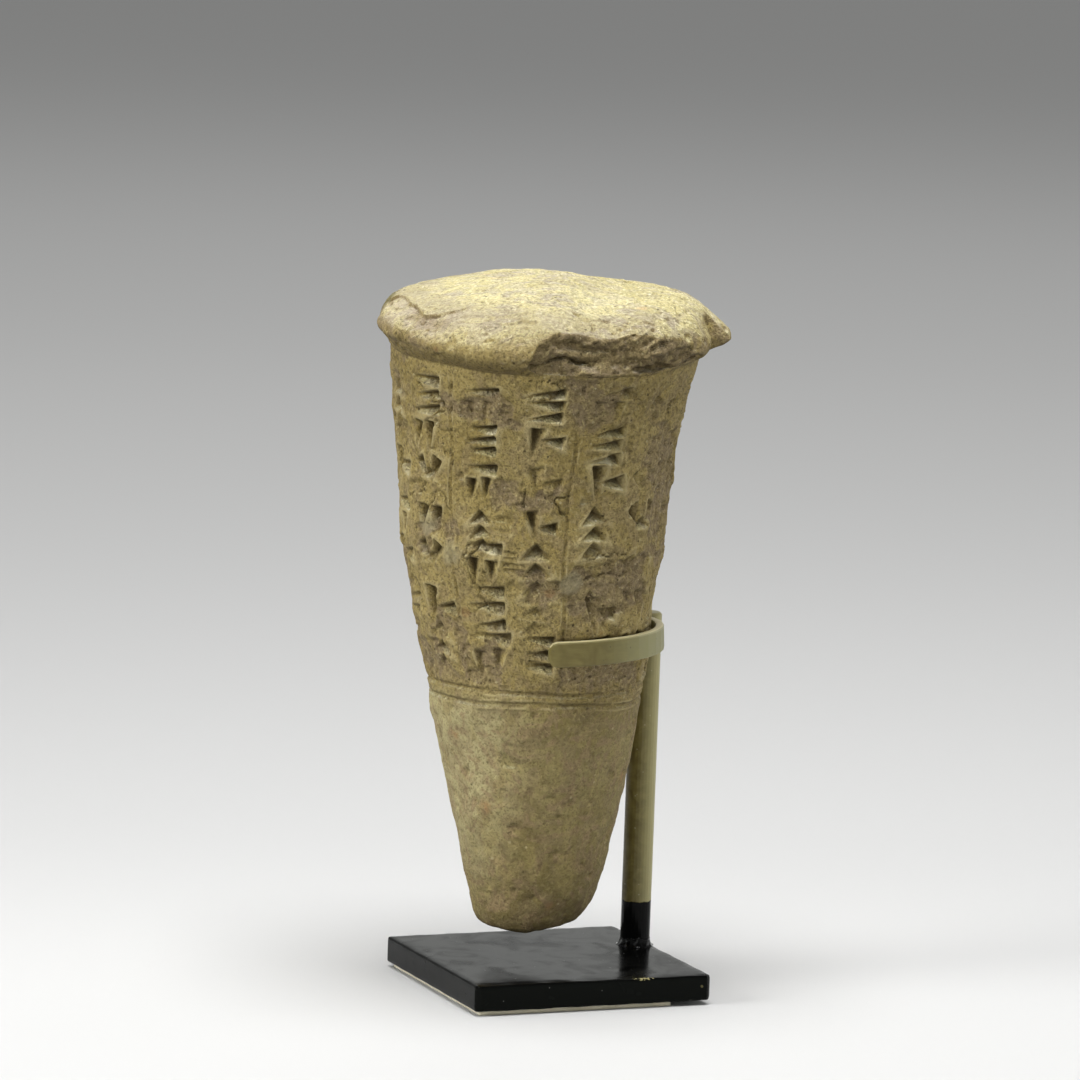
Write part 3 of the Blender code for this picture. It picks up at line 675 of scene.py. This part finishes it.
def scratches():
    """Thin shallow lines that the stylus and the hand left between the strokes."""
    draw = random.Random(SCRATCH_SEED)
    for _ in range(SCRATCH_GROUPS):
        bearing, height = draw.uniform(-180, 180), draw.uniform(54, 113)
        lean, length = draw.choice((0, 0, 90, 90, -40)) + draw.uniform(-8, 8), draw.uniform(3, 8)
        for _ in range(draw.choice((1, 2, 4, 5))):
            yield bearing, height, lean, length, 0.8, draw.uniform(0.25, 0.5)
            bearing += 1.15 * 2.2 * math.sin(math.radians(lean))
            height += 1.15 * math.cos(math.radians(lean))


on_body = profile_height < NECK_LEVEL - 0.5
pressed = np.zeros_like(height_grid)
burr = np.zeros_like(height_grid)
for bearing, height, lean, length, width, depth in [*strokes(), *scratches()]:
    near = on_body & (np.abs(profile_height - height) < length + 3)
    around = np.abs(turn_between(bearing_grid[0], bearing)) < math.degrees((length + 3) / 20)
    window = np.ix_(near, around)
    right = np.radians(turn_between(bearing_grid[window], bearing))
    right = right * float(follow(BODY_PROFILE, height))
    up = height_grid[window] - height
    slope = math.radians(lean)
    along = right * math.cos(slope) + up * math.sin(slope)
    across = up * math.cos(slope) - right * math.sin(slope)
    share = np.clip(along / length, 0, 1)
    half = width / 2 * (1 - share) + 0.12
    if width > length:
        side = (half - np.abs(across)) / 0.8
        wall = along / (0.8 * length)
        deep = 1.8 * depth * np.clip(np.minimum(side, wall), 0, 1)
    else:
        side = np.minimum((half - across) / (1.5 * half), (half + across) / (0.4 * half))
        wall = np.minimum(along / (0.12 * width), (length - along) / 0.5)
        deep = 2.2 * depth * (1 - share) ** 0.9 * np.clip(np.minimum(side, wall), 0, 1)
    pressed[window] = np.maximum(pressed[window], deep)
    outside = np.maximum(np.abs(across) - half, np.maximum(-along, along - length))
    edge = 1.3 * np.exp(-((outside - 0.2) / 0.25) ** 2)
    edge = edge + 0.9 * np.exp(-((outside - 0.6) / 1.1) ** 2)
    burr[window] = np.maximum(burr[window], 0.15 * depth * (1 - 0.6 * share) * edge)

# Ruled lines between the columns of strokes, and the ring lines under them

mm_round = np.radians(1.0) * radius_grid
for column in range(COLUMN_COUNT):
    bearing = FIRST_LINE + column * 360 / COLUMN_COUNT
    wobble = 0.5 * np.sin(height_grid * 0.11 + column)
    wobble = wobble + 0.2 * np.sin(height_grid * 0.43 + 2 * column)
    off = np.abs(turn_between(bearing_grid, bearing) * mm_round + wobble)
    reach = ease(RING_LINES[-1], RING_LINES[-1] + 1.5, height_grid)
    reach = reach * (1 - ease(NECK_LEVEL - 1.6, NECK_LEVEL - 0.6, height_grid))
    pressed = np.maximum(pressed, 0.6 * np.clip(1 - off / 0.42, 0, 1) * reach)
    burr = np.maximum(burr, 0.20 * np.exp(-((off - 0.6) / 0.22) ** 2) * reach)
for line in RING_LINES:
    wobble = 0.25 * np.sin(np.radians(bearing_grid) * 3 + line) + 0.25 * lumps(surface, 6.0, 31)
    off = np.abs(height_grid - line + wobble)
    firm = np.clip(0.55 + 0.9 * lumps(surface, 8.0, 32 + int(line)), 0.0, 1.0)
    pressed = np.maximum(pressed, (0.25 + 0.6 * firm) * np.clip(1 - off / 0.5, 0, 1))
    burr = np.maximum(burr, 0.22 * np.exp(-((off - 0.75) / 0.3) ** 2) * (1.2 - firm))

# Wear, grain and broken clay

rise = height_grid - NECK_LEVEL
flat_radius = np.hypot(surface[..., 0] - follow(CENTRE_DRIFT, height_grid), surface[..., 1])
ragged = lumps(surface, 9.0, 3) + 0.5 * lumps(surface, 4.0, 4) + 0.3 * lumps(surface, 1.8, 5)
inscribed = ease(50.0, 54.0, height_grid) * (1 - ease(-1.0, 1.0, rise))
head = ease(-0.2, 1.5, rise)
tip_face = ease(83.6, 84.2, bearing_grid) * (1 - ease(85.6, 86.2, bearing_grid))
tip_face = tip_face * ease(0.5, 1.5, rise)
worn = ease(36, 46, bearing_grid) * (1 - ease(72, 82, bearing_grid)) * ease(92, 98, height_grid)
eaten = ease(0.10, 0.34, ragged + 0.12 * worn) * inscribed
pressed = pressed * (1 - 0.55 * worn) * (1 - 0.45 * eaten)
burr = burr * (1 - worn) * (1 - eaten) * np.clip(0.75 + lumps(surface, 3.0, 30), 0.1, 1.3)
relief = soften(burr, 1) - soften(pressed, 1)

flake_radius = np.interp(bearing_grid, *np.array(FLAKE_EDGE).T) + 0.5 * lumps(surface, 1.6, 21)
flaked = ease(-0.1, 0.25, flat_radius - flake_radius) * (rise > 2.5)
flaked = flaked * (1 - ease(-47, -32, bearing_grid)) * ease(-105, -85, bearing_grid)
relief -= 0.5 * flaked * (1 - ease(31.5, 33.5, flat_radius))
flake_pits = 0.9 * flaked * (1 - ease(31.5, 34.0, flat_radius)) * ease(-0.7, 0.0, ragged)
head_pits = ease(20, 60, bearing_grid) * ease(14, 26, flat_radius)
head_pits = head * ease(0.15, 0.45, ragged + 0.2 * head_pits) * 0.5
tip_pits = 0.4 * tip_face * ease(32.3, 32.8, flat_radius) * (1 - ease(7.0, 8.0, rise))
for pits in (flake_pits, head_pits, tip_pits):
    eaten = np.maximum(eaten, pits)

break_radius = rim_radius_left(bearing_grid, rise)
broken = soften(ease(-0.4, -0.05, flat_radius - break_radius) * (rise > 0.4), 1)
reach = np.clip(rise / 7.5, 0, 1)
broken_clay = 0.6 * lumps(surface * (0.7, 0.7, 1.8), 3.4, 17)
broken_clay += 0.55 * lumps(surface * (1, 1, 1.5), 1.2, 18)
run_round = np.radians(bearing_grid) * BREAK_RADIUS
along, across = 0.88 * run_round + 0.47 * rise, 0.88 * rise - 0.47 * run_round
torn = lumps(np.stack((along / 5.0, across / 0.9, 0 * rise), axis=-1), 1.0, 19)
broken_clay += 0.35 * torn * ease(28, 40, bearing_grid)
hollow_face = np.exp(-((bearing_grid - 17) / 5) ** 2 - ((rise - 5.8) / 0.8) ** 2)
relief += broken * (broken_clay - 0.5 * np.sin(math.pi * reach ** 0.8) - 1.0 * hollow_face)
neck_ridge = np.exp(-((rise + 0.3 + 0.3 * lumps(surface, 7.0, 29)) / 0.35) ** 2) * (0.7 + ragged)
relief += 0.25 * neck_ridge * ease(-20, 10, bearing_grid) * (1 - ease(72, 80, bearing_grid))
relief -= 0.6 * ease(2.5, 0.0, height_grid)
over_neck = ((bearing_grid - 41) / 14) ** 2 + ((rise - 1.1) / 0.8) ** 2
over_neck = np.clip(1 - over_neck + 0.5 * ragged, 0, 1)
relief -= 1.8 * over_neck

FAR_OFF = 9.0
crack = np.full_like(relief, FAR_OFF)
for (first_bearing, first_height), (last_bearing, last_height) in zip(CRACK, CRACK[1:]):
    share = np.clip((bearing_grid - first_bearing) / (last_bearing - first_bearing), 0, 1)
    miss = np.radians(bearing_grid - first_bearing - share * (last_bearing - first_bearing)) * CRACK_RADIUS
    miss = np.hypot(miss, height_grid - first_height - share * (last_height - first_height))
    crack = np.minimum(crack, miss)
gape = 0.30 + 0.25 * np.exp(-((bearing_grid - 10.0) / 2.2) ** 2)
crack = np.clip(1 - (crack + 0.2 * lumps(surface, 1.1, 22)) / gape, 0, 1)
fissures = np.abs(lumps(surface * (1, 1, 1.3), 5.0, 23) + 0.3 * lumps(surface, 1.5, 24))
fissures = np.clip(1 - fissures / 0.05, 0, 1) * ease(0.25, 0.5, lumps(surface, 11.0, 25)) * inscribed
relief -= 1.2 * crack + 0.7 * fissures

combed = lumps(np.stack((along / 6.0, across / 0.75, 0 * rise), axis=-1), 1.0, 20)
combed_here = ease(44, 56, bearing_grid) * ease(99, 106, height_grid) * (1 - ease(-1.5, 0.0, rise))
relief -= 0.35 * np.clip(combed, 0, 1) * combed_here
relief += 0.35 * lumps(surface, 13.0, 11) + 0.22 * lumps(surface, 5.0, 12)
relief += 0.12 * lumps(surface, 2.1, 13) + 0.08 * lumps(surface, 1.0, 14)
gritty = 0.5 + eaten + 0.4 * head
relief -= eaten * (0.25 + 0.25 * np.abs(lumps(surface, 1.3, 26)) + 0.2 * lumps(surface, 2.4, 27))
relief -= 0.9 * gritty * np.clip(lumps(surface, 1.3, 15) - 0.50, 0, 1)
relief -= 1.6 * np.clip(lumps(surface, 2.6, 16) - 0.58, 0, 1)
red = np.zeros_like(relief)
for bearing, height, size in RED_SPOTS:
    away = np.hypot(turn_between(bearing_grid, bearing) * 0.3, height_grid - height) / size
    red = np.maximum(red, np.clip(1.2 - away + 0.5 * ragged, 0, 1))
crust = np.zeros_like(relief)
for bearing, height, size in CRUSTS:
    away = np.hypot(turn_between(bearing_grid, bearing) * 0.45, height_grid - height) / size
    crust = np.maximum(crust, np.clip(1.1 - away + 0.6 * ragged, 0, 1))
relief += 0.3 * crust * (0.5 + lumps(surface, 1.2, 28))
grime = ease(-122, -100, bearing_grid) * (1 - ease(-97, -92, bearing_grid)) * ease(2.0, 4.0, rise)
grime = grime * ease(29.5, 31.5, flat_radius) * (1 - ease(9.0, 10.0, rise))
hollow = np.maximum(pressed / 1.6, np.maximum(crack, np.maximum(fissures, 0.8 * over_neck)))
surface = surface + outward_of(surface) * relief[..., None]

rod_distance = (
    (float(follow(BODY_PROFILE, BAND_LEVEL / CLAY_MM)) + LOBES_AT_MOST
     + float(follow(CENTRE_DRIFT, BAND_LEVEL / CLAY_MM)) * math.cos(ROD_BEARING)) * CLAY_MM
    + ROD_CONE_CLEARANCE + ROD_RADIUS
)
axis_x = foot_x - rod_distance * math.cos(CONE_TURN + ROD_BEARING)
axis_y = foot_y - rod_distance * math.sin(CONE_TURN + ROD_BEARING)
turned = np.array(Matrix.Rotation(CONE_TURN, 3, "Z"))
points = surface * CLAY_MM @ turned.T + (axis_x, axis_y, TIP_LEVEL)


def store(mesh, name, *grids):
    """Keep four grids of amounts on a mesh made from a grid with one point at each end."""
    amounts = np.stack(grids, axis=-1)
    amounts = np.concatenate((amounts[:1, 0], amounts[1:-1].reshape(-1, 4), amounts[-1:, 0]))
    stored = mesh.attributes.new(name, "FLOAT_COLOR", "POINT")
    stored.data.foreach_set("color", amounts.astype(np.float32).ravel())


count = (rows - 2) * COLUMNS
points = np.concatenate((points[:1, 0], points[1:-1].reshape(-1, 3), points[-1:, 0]))
first = 1 + np.arange(count - COLUMNS).reshape(-1, COLUMNS)
second = np.roll(first, -1, axis=1)
faces = np.concatenate((
    np.stack((first, first + COLUMNS, second), axis=-1).reshape(-1, 3),
    np.stack((second, first + COLUMNS, second + COLUMNS), axis=-1).reshape(-1, 3),
    np.stack((np.zeros(COLUMNS, int), first[0], second[0]), axis=-1),
    np.stack((np.full(COLUMNS, count + 1), second[-1] + COLUMNS, first[-1] + COLUMNS), axis=-1),
))
fine = bpy.data.meshes.new("fine_clay")
fine.from_pydata(points.tolist(), [], faces.tolist())
store(fine, "marks", hollow, np.maximum(broken, eaten), burr / 0.25, crust)
store(fine, "stains", red, grime, head, flaked)
fine_cone = bpy.data.objects.new("fine_clay", fine)
bpy.context.scene.collection.objects.link(fine_cone)
thin = fine_cone.modifiers.new("thin out", "DECIMATE")
thin.ratio = TRIANGLES / len(faces)
bpy.context.view_layer.update()
thinned = fine_cone.evaluated_get(bpy.context.evaluated_depsgraph_get())
clay = bpy.data.meshes.new_from_object(thinned)
bpy.data.objects.remove(fine_cone)
clay.shade_smooth()
inscribed_cone = bpy.data.objects.new("inscribed_cone", clay)
bpy.context.scene.collection.objects.link(inscribed_cone)
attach(inscribed_cone, "root")
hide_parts("foundation_cone")

# Colours of the clay: layers of how much of a colour there is and the colour, then painted light and shade
# by which way the surface faces, with a grey dust tint, last

HEAD_MIDDLE = (axis_x, axis_y, TIP_LEVEL + 126 * CLAY_MM)
BAND_SLOPE_X = math.sin(BAND_TILT) * math.cos(CONE_TURN)
BAND_SLOPE_Y = math.sin(BAND_TILT) * -math.sin(CONE_TURN)
BAND_TOP = TIP_LEVEL + BAND_LEVEL + BAND_HEIGHT - BAND_SLOPE_X * axis_x + BAND_SLOPE_Y * axis_y
OCHRE = ((0.43, 0.348, 0.155), (0.53, 0.441, 0.224))
SMOOTHED_OCHRE = ((0.36, 0.31, 0.155), (0.445, 0.395, 0.235))
SHADED_SIDE = (0.32, 0.29, 0.20)
PLAIN_SIDE = (0.76, 0.71, 0.53)
DUSTED_AND_LIT_TOP = (1.45, 1.56, 1.66)


def stored_wires(place, name):
    """The four amounts that are kept on the mesh under this name, as wires."""
    amounts = place.node("ShaderNodeAttribute", {"attribute_name": name}, {})
    last = place.node("ShaderNodeAttribute", {"attribute_name": name}, {}, "Alpha")
    split = [amounts.node("ShaderNodeSeparateColor", {}, {0: amounts}, band) for band in range(3)]
    return [*split, last]


worn_clay, place, shader = new_finish("worn_clay", 0.9, Specular_IOR_Level=0.3)
hollow, eaten, ridge, crusted = stored_wires(place, "marks")
red, grime, head, flaked = stored_wires(place, "stains")
rightward, height = place.part(0), place.part(2)
smooth_end = height.grown(0.0635, 0.0565)
grainy = 1 - 0.45 * smooth_end
broad = place.noise(22.0, 3.0, 0.6).grown(0.35, 0.65)
middle = place.noise(4.5, 5.0, 0.8)
grain = place.noise(0.8, 5.0, 0.3)
sand = place.noise(0.42, 3.0)
holes = place.specks(1.5, 0.20, 0.26)
# Painted light: the left side of the lower body is painted paler, standing in for the light from the left
# and off the floor.
lit_left_side = rightward.grown(-0.0095, -0.021) * height.grown(0.016, 0.026)
mauve = place.noise(7.0, 5.0, 1.8).grown(0.44, 0.58)
low_mauve = place.noise(6.5, 5.0, 2.5).grown(0.49, 0.60)
drips = place.node("ShaderNodeMapping", {}, {"Vector": place, "Scale": (1.0, 1.0, 0.45)})
dark_drips = drips.noise(7.0, 4.0, 1.0).grown(0.56, 0.68)
pale_drips = drips.noise(5.0, 3.0, 0.5).grown(0.44, 0.34)
pepper = place.noise(0.55, 2.0, 0.6).grown(0.42, 0.30)
from_middle = place.distance_to(HEAD_MIDDLE)
head_ring = (from_middle + 0.005 * middle).grown(0.022, 0.029)
head_ring = head_ring * (1 - 0.65 * from_middle.grown(0.030, 0.033))
head_ring = head_ring * head * (1 - 0.8 * eaten) * rightward.grown(0.014, 0.002)
# Painted shadow: a thin dark line on the clay just above the band's top edge, where the band shades the gap.
over_band = height - BAND_SLOPE_X * rightward + BAND_SLOPE_Y * place.part(1) + 0.0002 * middle
band_gap_shadow = over_band.grown(BAND_TOP - 0.0002, BAND_TOP)
band_gap_shadow = band_gap_shadow * over_band.grown(BAND_TOP + 0.0009, BAND_TOP + 0.0003)

tone = smooth_end.blend(broad.blend(*OCHRE), broad.blend(*SMOOTHED_OCHRE))
layers = (
    (0.95 * smooth_end * lit_left_side, (0.66, 0.62, 0.43)),
    (0.3 * height.grown(0.045, 0.016), (0.22, 0.175, 0.10)),
    (0.55 * middle.grown(0.5, 0.68), (0.34, 0.28, 0.15)),
    ((0.55 * mauve + 0.75 * eaten).grown(0.0, 1.2), (0.375, 0.305, 0.225)),
    (0.6 * smooth_end * low_mauve, (0.42, 0.315, 0.235)),
    (0.5 * smooth_end * dark_drips, (0.25, 0.20, 0.125)),
    (0.4 * smooth_end * pale_drips, (0.56, 0.49, 0.25)),
    (0.75 * grainy * grain.grown(0.50, 0.72), (0.64, 0.56, 0.34)),
    (0.75 * grainy * grain.grown(0.50, 0.30), (0.23, 0.185, 0.10)),
    ((0.65 - 0.15 * smooth_end) * sand.grown(0.50, 0.30), (0.16, 0.125, 0.065)),
    ((0.8 - 0.65 * smooth_end) * holes, (0.13, 0.10, 0.06)),
    (pepper * head * (0.35 + 0.75 * flaked + 0.4 * eaten), (0.17, 0.14, 0.075)),
    (0.45 * head_ring, (0.235, 0.18, 0.11)),
    (0.4 * flaked * middle.grown(0.62, 0.42), (0.36, 0.285, 0.22)),
    (0.45 * place.specks(2.6, 0.14, 0.25), (0.80, 0.74, 0.56)),
    (0.7 * eaten * place.specks(1.2, 0.20, 0.35), (0.66, 0.61, 0.50)),
    (0.22 * place.specks(11.0, 0.12, 0.45), (0.50, 0.24, 0.12)),
    (0.5 * red * grain.grown(0.25, 0.55), (0.52, 0.22, 0.11)),
    (0.75 * grime, (0.10, 0.085, 0.03)),
    (0.85 * hollow.grown(0.2, 1.1), (0.13, 0.10, 0.05)),
    (0.55 * ridge.grown(0.3, 1.0), (0.70, 0.62, 0.42)),
    (0.6 * band_gap_shadow * rightward.grown(-0.011, -0.008), (0.12, 0.095, 0.05)),
    (0.55 * (crusted + 0.5 * middle).grown(0.4, 1.0), (0.56, 0.53, 0.43)),
)
for weight, colour in layers:
    tone = weight.blend(tone, colour)
# Painted light and shade: faces that look up are made paler, faces that look down darker, standing in for
# the light from above; the grey tint on top also stands for dust.
upward = place.node("ShaderNodeNewGeometry", {}, {}, "Normal").part(2)
side = upward.grown(-0.9, 0.1).blend(SHADED_SIDE, PLAIN_SIDE)
dust_and_top_light = (upward * (1 - 0.4 * eaten)).grown(0.18, 1.0).blend(side, DUSTED_AND_LIT_TOP)
feed(shader, "Base Color", tone.tinted(dust_and_top_light))
feed(shader, "Roughness", 0.8 + 0.15 * grain)
relief = (1 - 0.3 * smooth_end) * (1.3 * grain + 0.8 * sand) + 0.4 * middle - 0.6 * holes
feed(shader, "Normal", relief.height_map(1.0, 0.6))
clay.materials.clear()
clay.materials.append(worn_clay)


# Studio
# A pale floor that runs back without an edge, a broad soft light overhead, one behind and two much
# weaker ones at the sides. The camera looks from the photograph's place through a long lens.

CAMERA_PLACE = Vector((-0.4178, -0.9987, 0.2307))
CAMERA_BEARING = math.radians(-22.47)
CAMERA_PITCH = math.radians(7.41)
CAMERA_ROLL = math.radians(-2.03)
CAMERA_LENS = 183.33
FLOOR_REACH = 14.0
FLOOR_FRONT = (-0.418, -0.999, 0.0)

sweep, place, shader = new_finish("studio_floor", 0.9, Specular_IOR_Level=0.0)
# Painted light and shade: the floor's colour changes with distance from a point under the camera. It is a
# little paler nearest the camera, darkest just beyond the object and steadily paler further off, standing in
# for how the studio light falls over the floor.
away = place.distance_to(FLOOR_FRONT)
tone = away.grown(1.25, 2.3).blend((0.56, 0.56, 0.557), (0.66, 0.66, 0.655))
tone = away.grown(2.2, 4.5).blend(tone, (0.72, 0.72, 0.715))
feed(shader, "Base Color", away.grown(1.26, 1.04).blend(tone, (0.618, 0.618, 0.613)))
bm = bmesh.new()
bmesh.ops.create_circle(bm, cap_ends=True, segments=96, radius=FLOOR_REACH)
mesh = bpy.data.meshes.new("floor")
bm.to_mesh(mesh)
bm.free()
floor = bpy.data.objects.new("floor", mesh)
bpy.context.scene.collection.objects.link(floor)
mesh.materials.append(sweep)
floor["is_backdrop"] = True


def soft_light(name, place, side, power, beam, aim=(0.0, 0.0, 0.07), glossy=True):
    """Square soft light, aimed at the object and left out of the camera's own view."""
    lamp = bpy.data.lights.new(name, "AREA")
    lamp.size = side
    lamp.energy = power
    lamp.spread = math.radians(beam)
    light = bpy.data.objects.new(name, lamp)
    light.location = place
    light.rotation_mode = "QUATERNION"
    light.rotation_quaternion = (Vector(place) - Vector(aim)).to_track_quat("Z", "Y")
    light.visible_camera = False
    light.visible_glossy = glossy
    bpy.context.scene.collection.objects.link(light)
    return light


soft_light("top_light", (-0.05, -0.12, 1.1), 0.6, 13.5, 180)
soft_light("back_light", (0.65, 1.5, 1.6), 1.0, 5.0, 180, (0.65, 1.5, 0.0))
soft_light("right_light", (1.0, 0.15, 0.30), 0.5, 0.12, 60, (0.0, 0.0, 0.08))
soft_light("left_light", (-1.0, -0.05, 0.40), 0.4, 0.58, 50, (0.0, 0.0, 0.035), False)

world = bpy.data.worlds.new("studio_air")
world.use_nodes = True
air = world.node_tree.nodes["Background"]
sky = Wire(world.node_tree, None).node("ShaderNodeTexCoord", {}, {}, "Generated")
low_air = sky.part(0).grown(-0.2, 1.0).blend((0.585, 0.605, 0.575), (1.0, 1.0, 0.98))
air_colour = sky.part(2).grown(0.10, 0.50).blend(low_air, (0.24, 0.24, 0.24))
world.node_tree.links.new(air_colour.socket, air.inputs["Color"])
bpy.context.scene.world = world
bpy.context.scene.view_settings.view_transform = "Standard"

back = Vector((
    math.sin(CAMERA_BEARING) * math.cos(CAMERA_PITCH),
    -math.cos(CAMERA_BEARING) * math.cos(CAMERA_PITCH),
    math.sin(CAMERA_PITCH),
))
right = Vector((math.cos(CAMERA_BEARING), math.sin(CAMERA_BEARING), 0.0))
up = back.cross(right)
across = right * math.cos(CAMERA_ROLL) - up * math.sin(CAMERA_ROLL)
upward = right * math.sin(CAMERA_ROLL) + up * math.cos(CAMERA_ROLL)
lens = bpy.data.cameras.new("camera")
lens.lens = CAMERA_LENS
lens.clip_end = 60.0
camera = bpy.data.objects.new("camera", lens)
camera_turn = Matrix((across, upward, back)).transposed().to_4x4()
camera.matrix_world = Matrix.Translation(CAMERA_PLACE) @ camera_turn
bpy.context.scene.collection.objects.link(camera)
bpy.context.scene.camera = camera

shown_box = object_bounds()
sizes = {name: [list(corner) for corner in box] for name, box in (("cad", solid_box), ("visual", shown_box))}
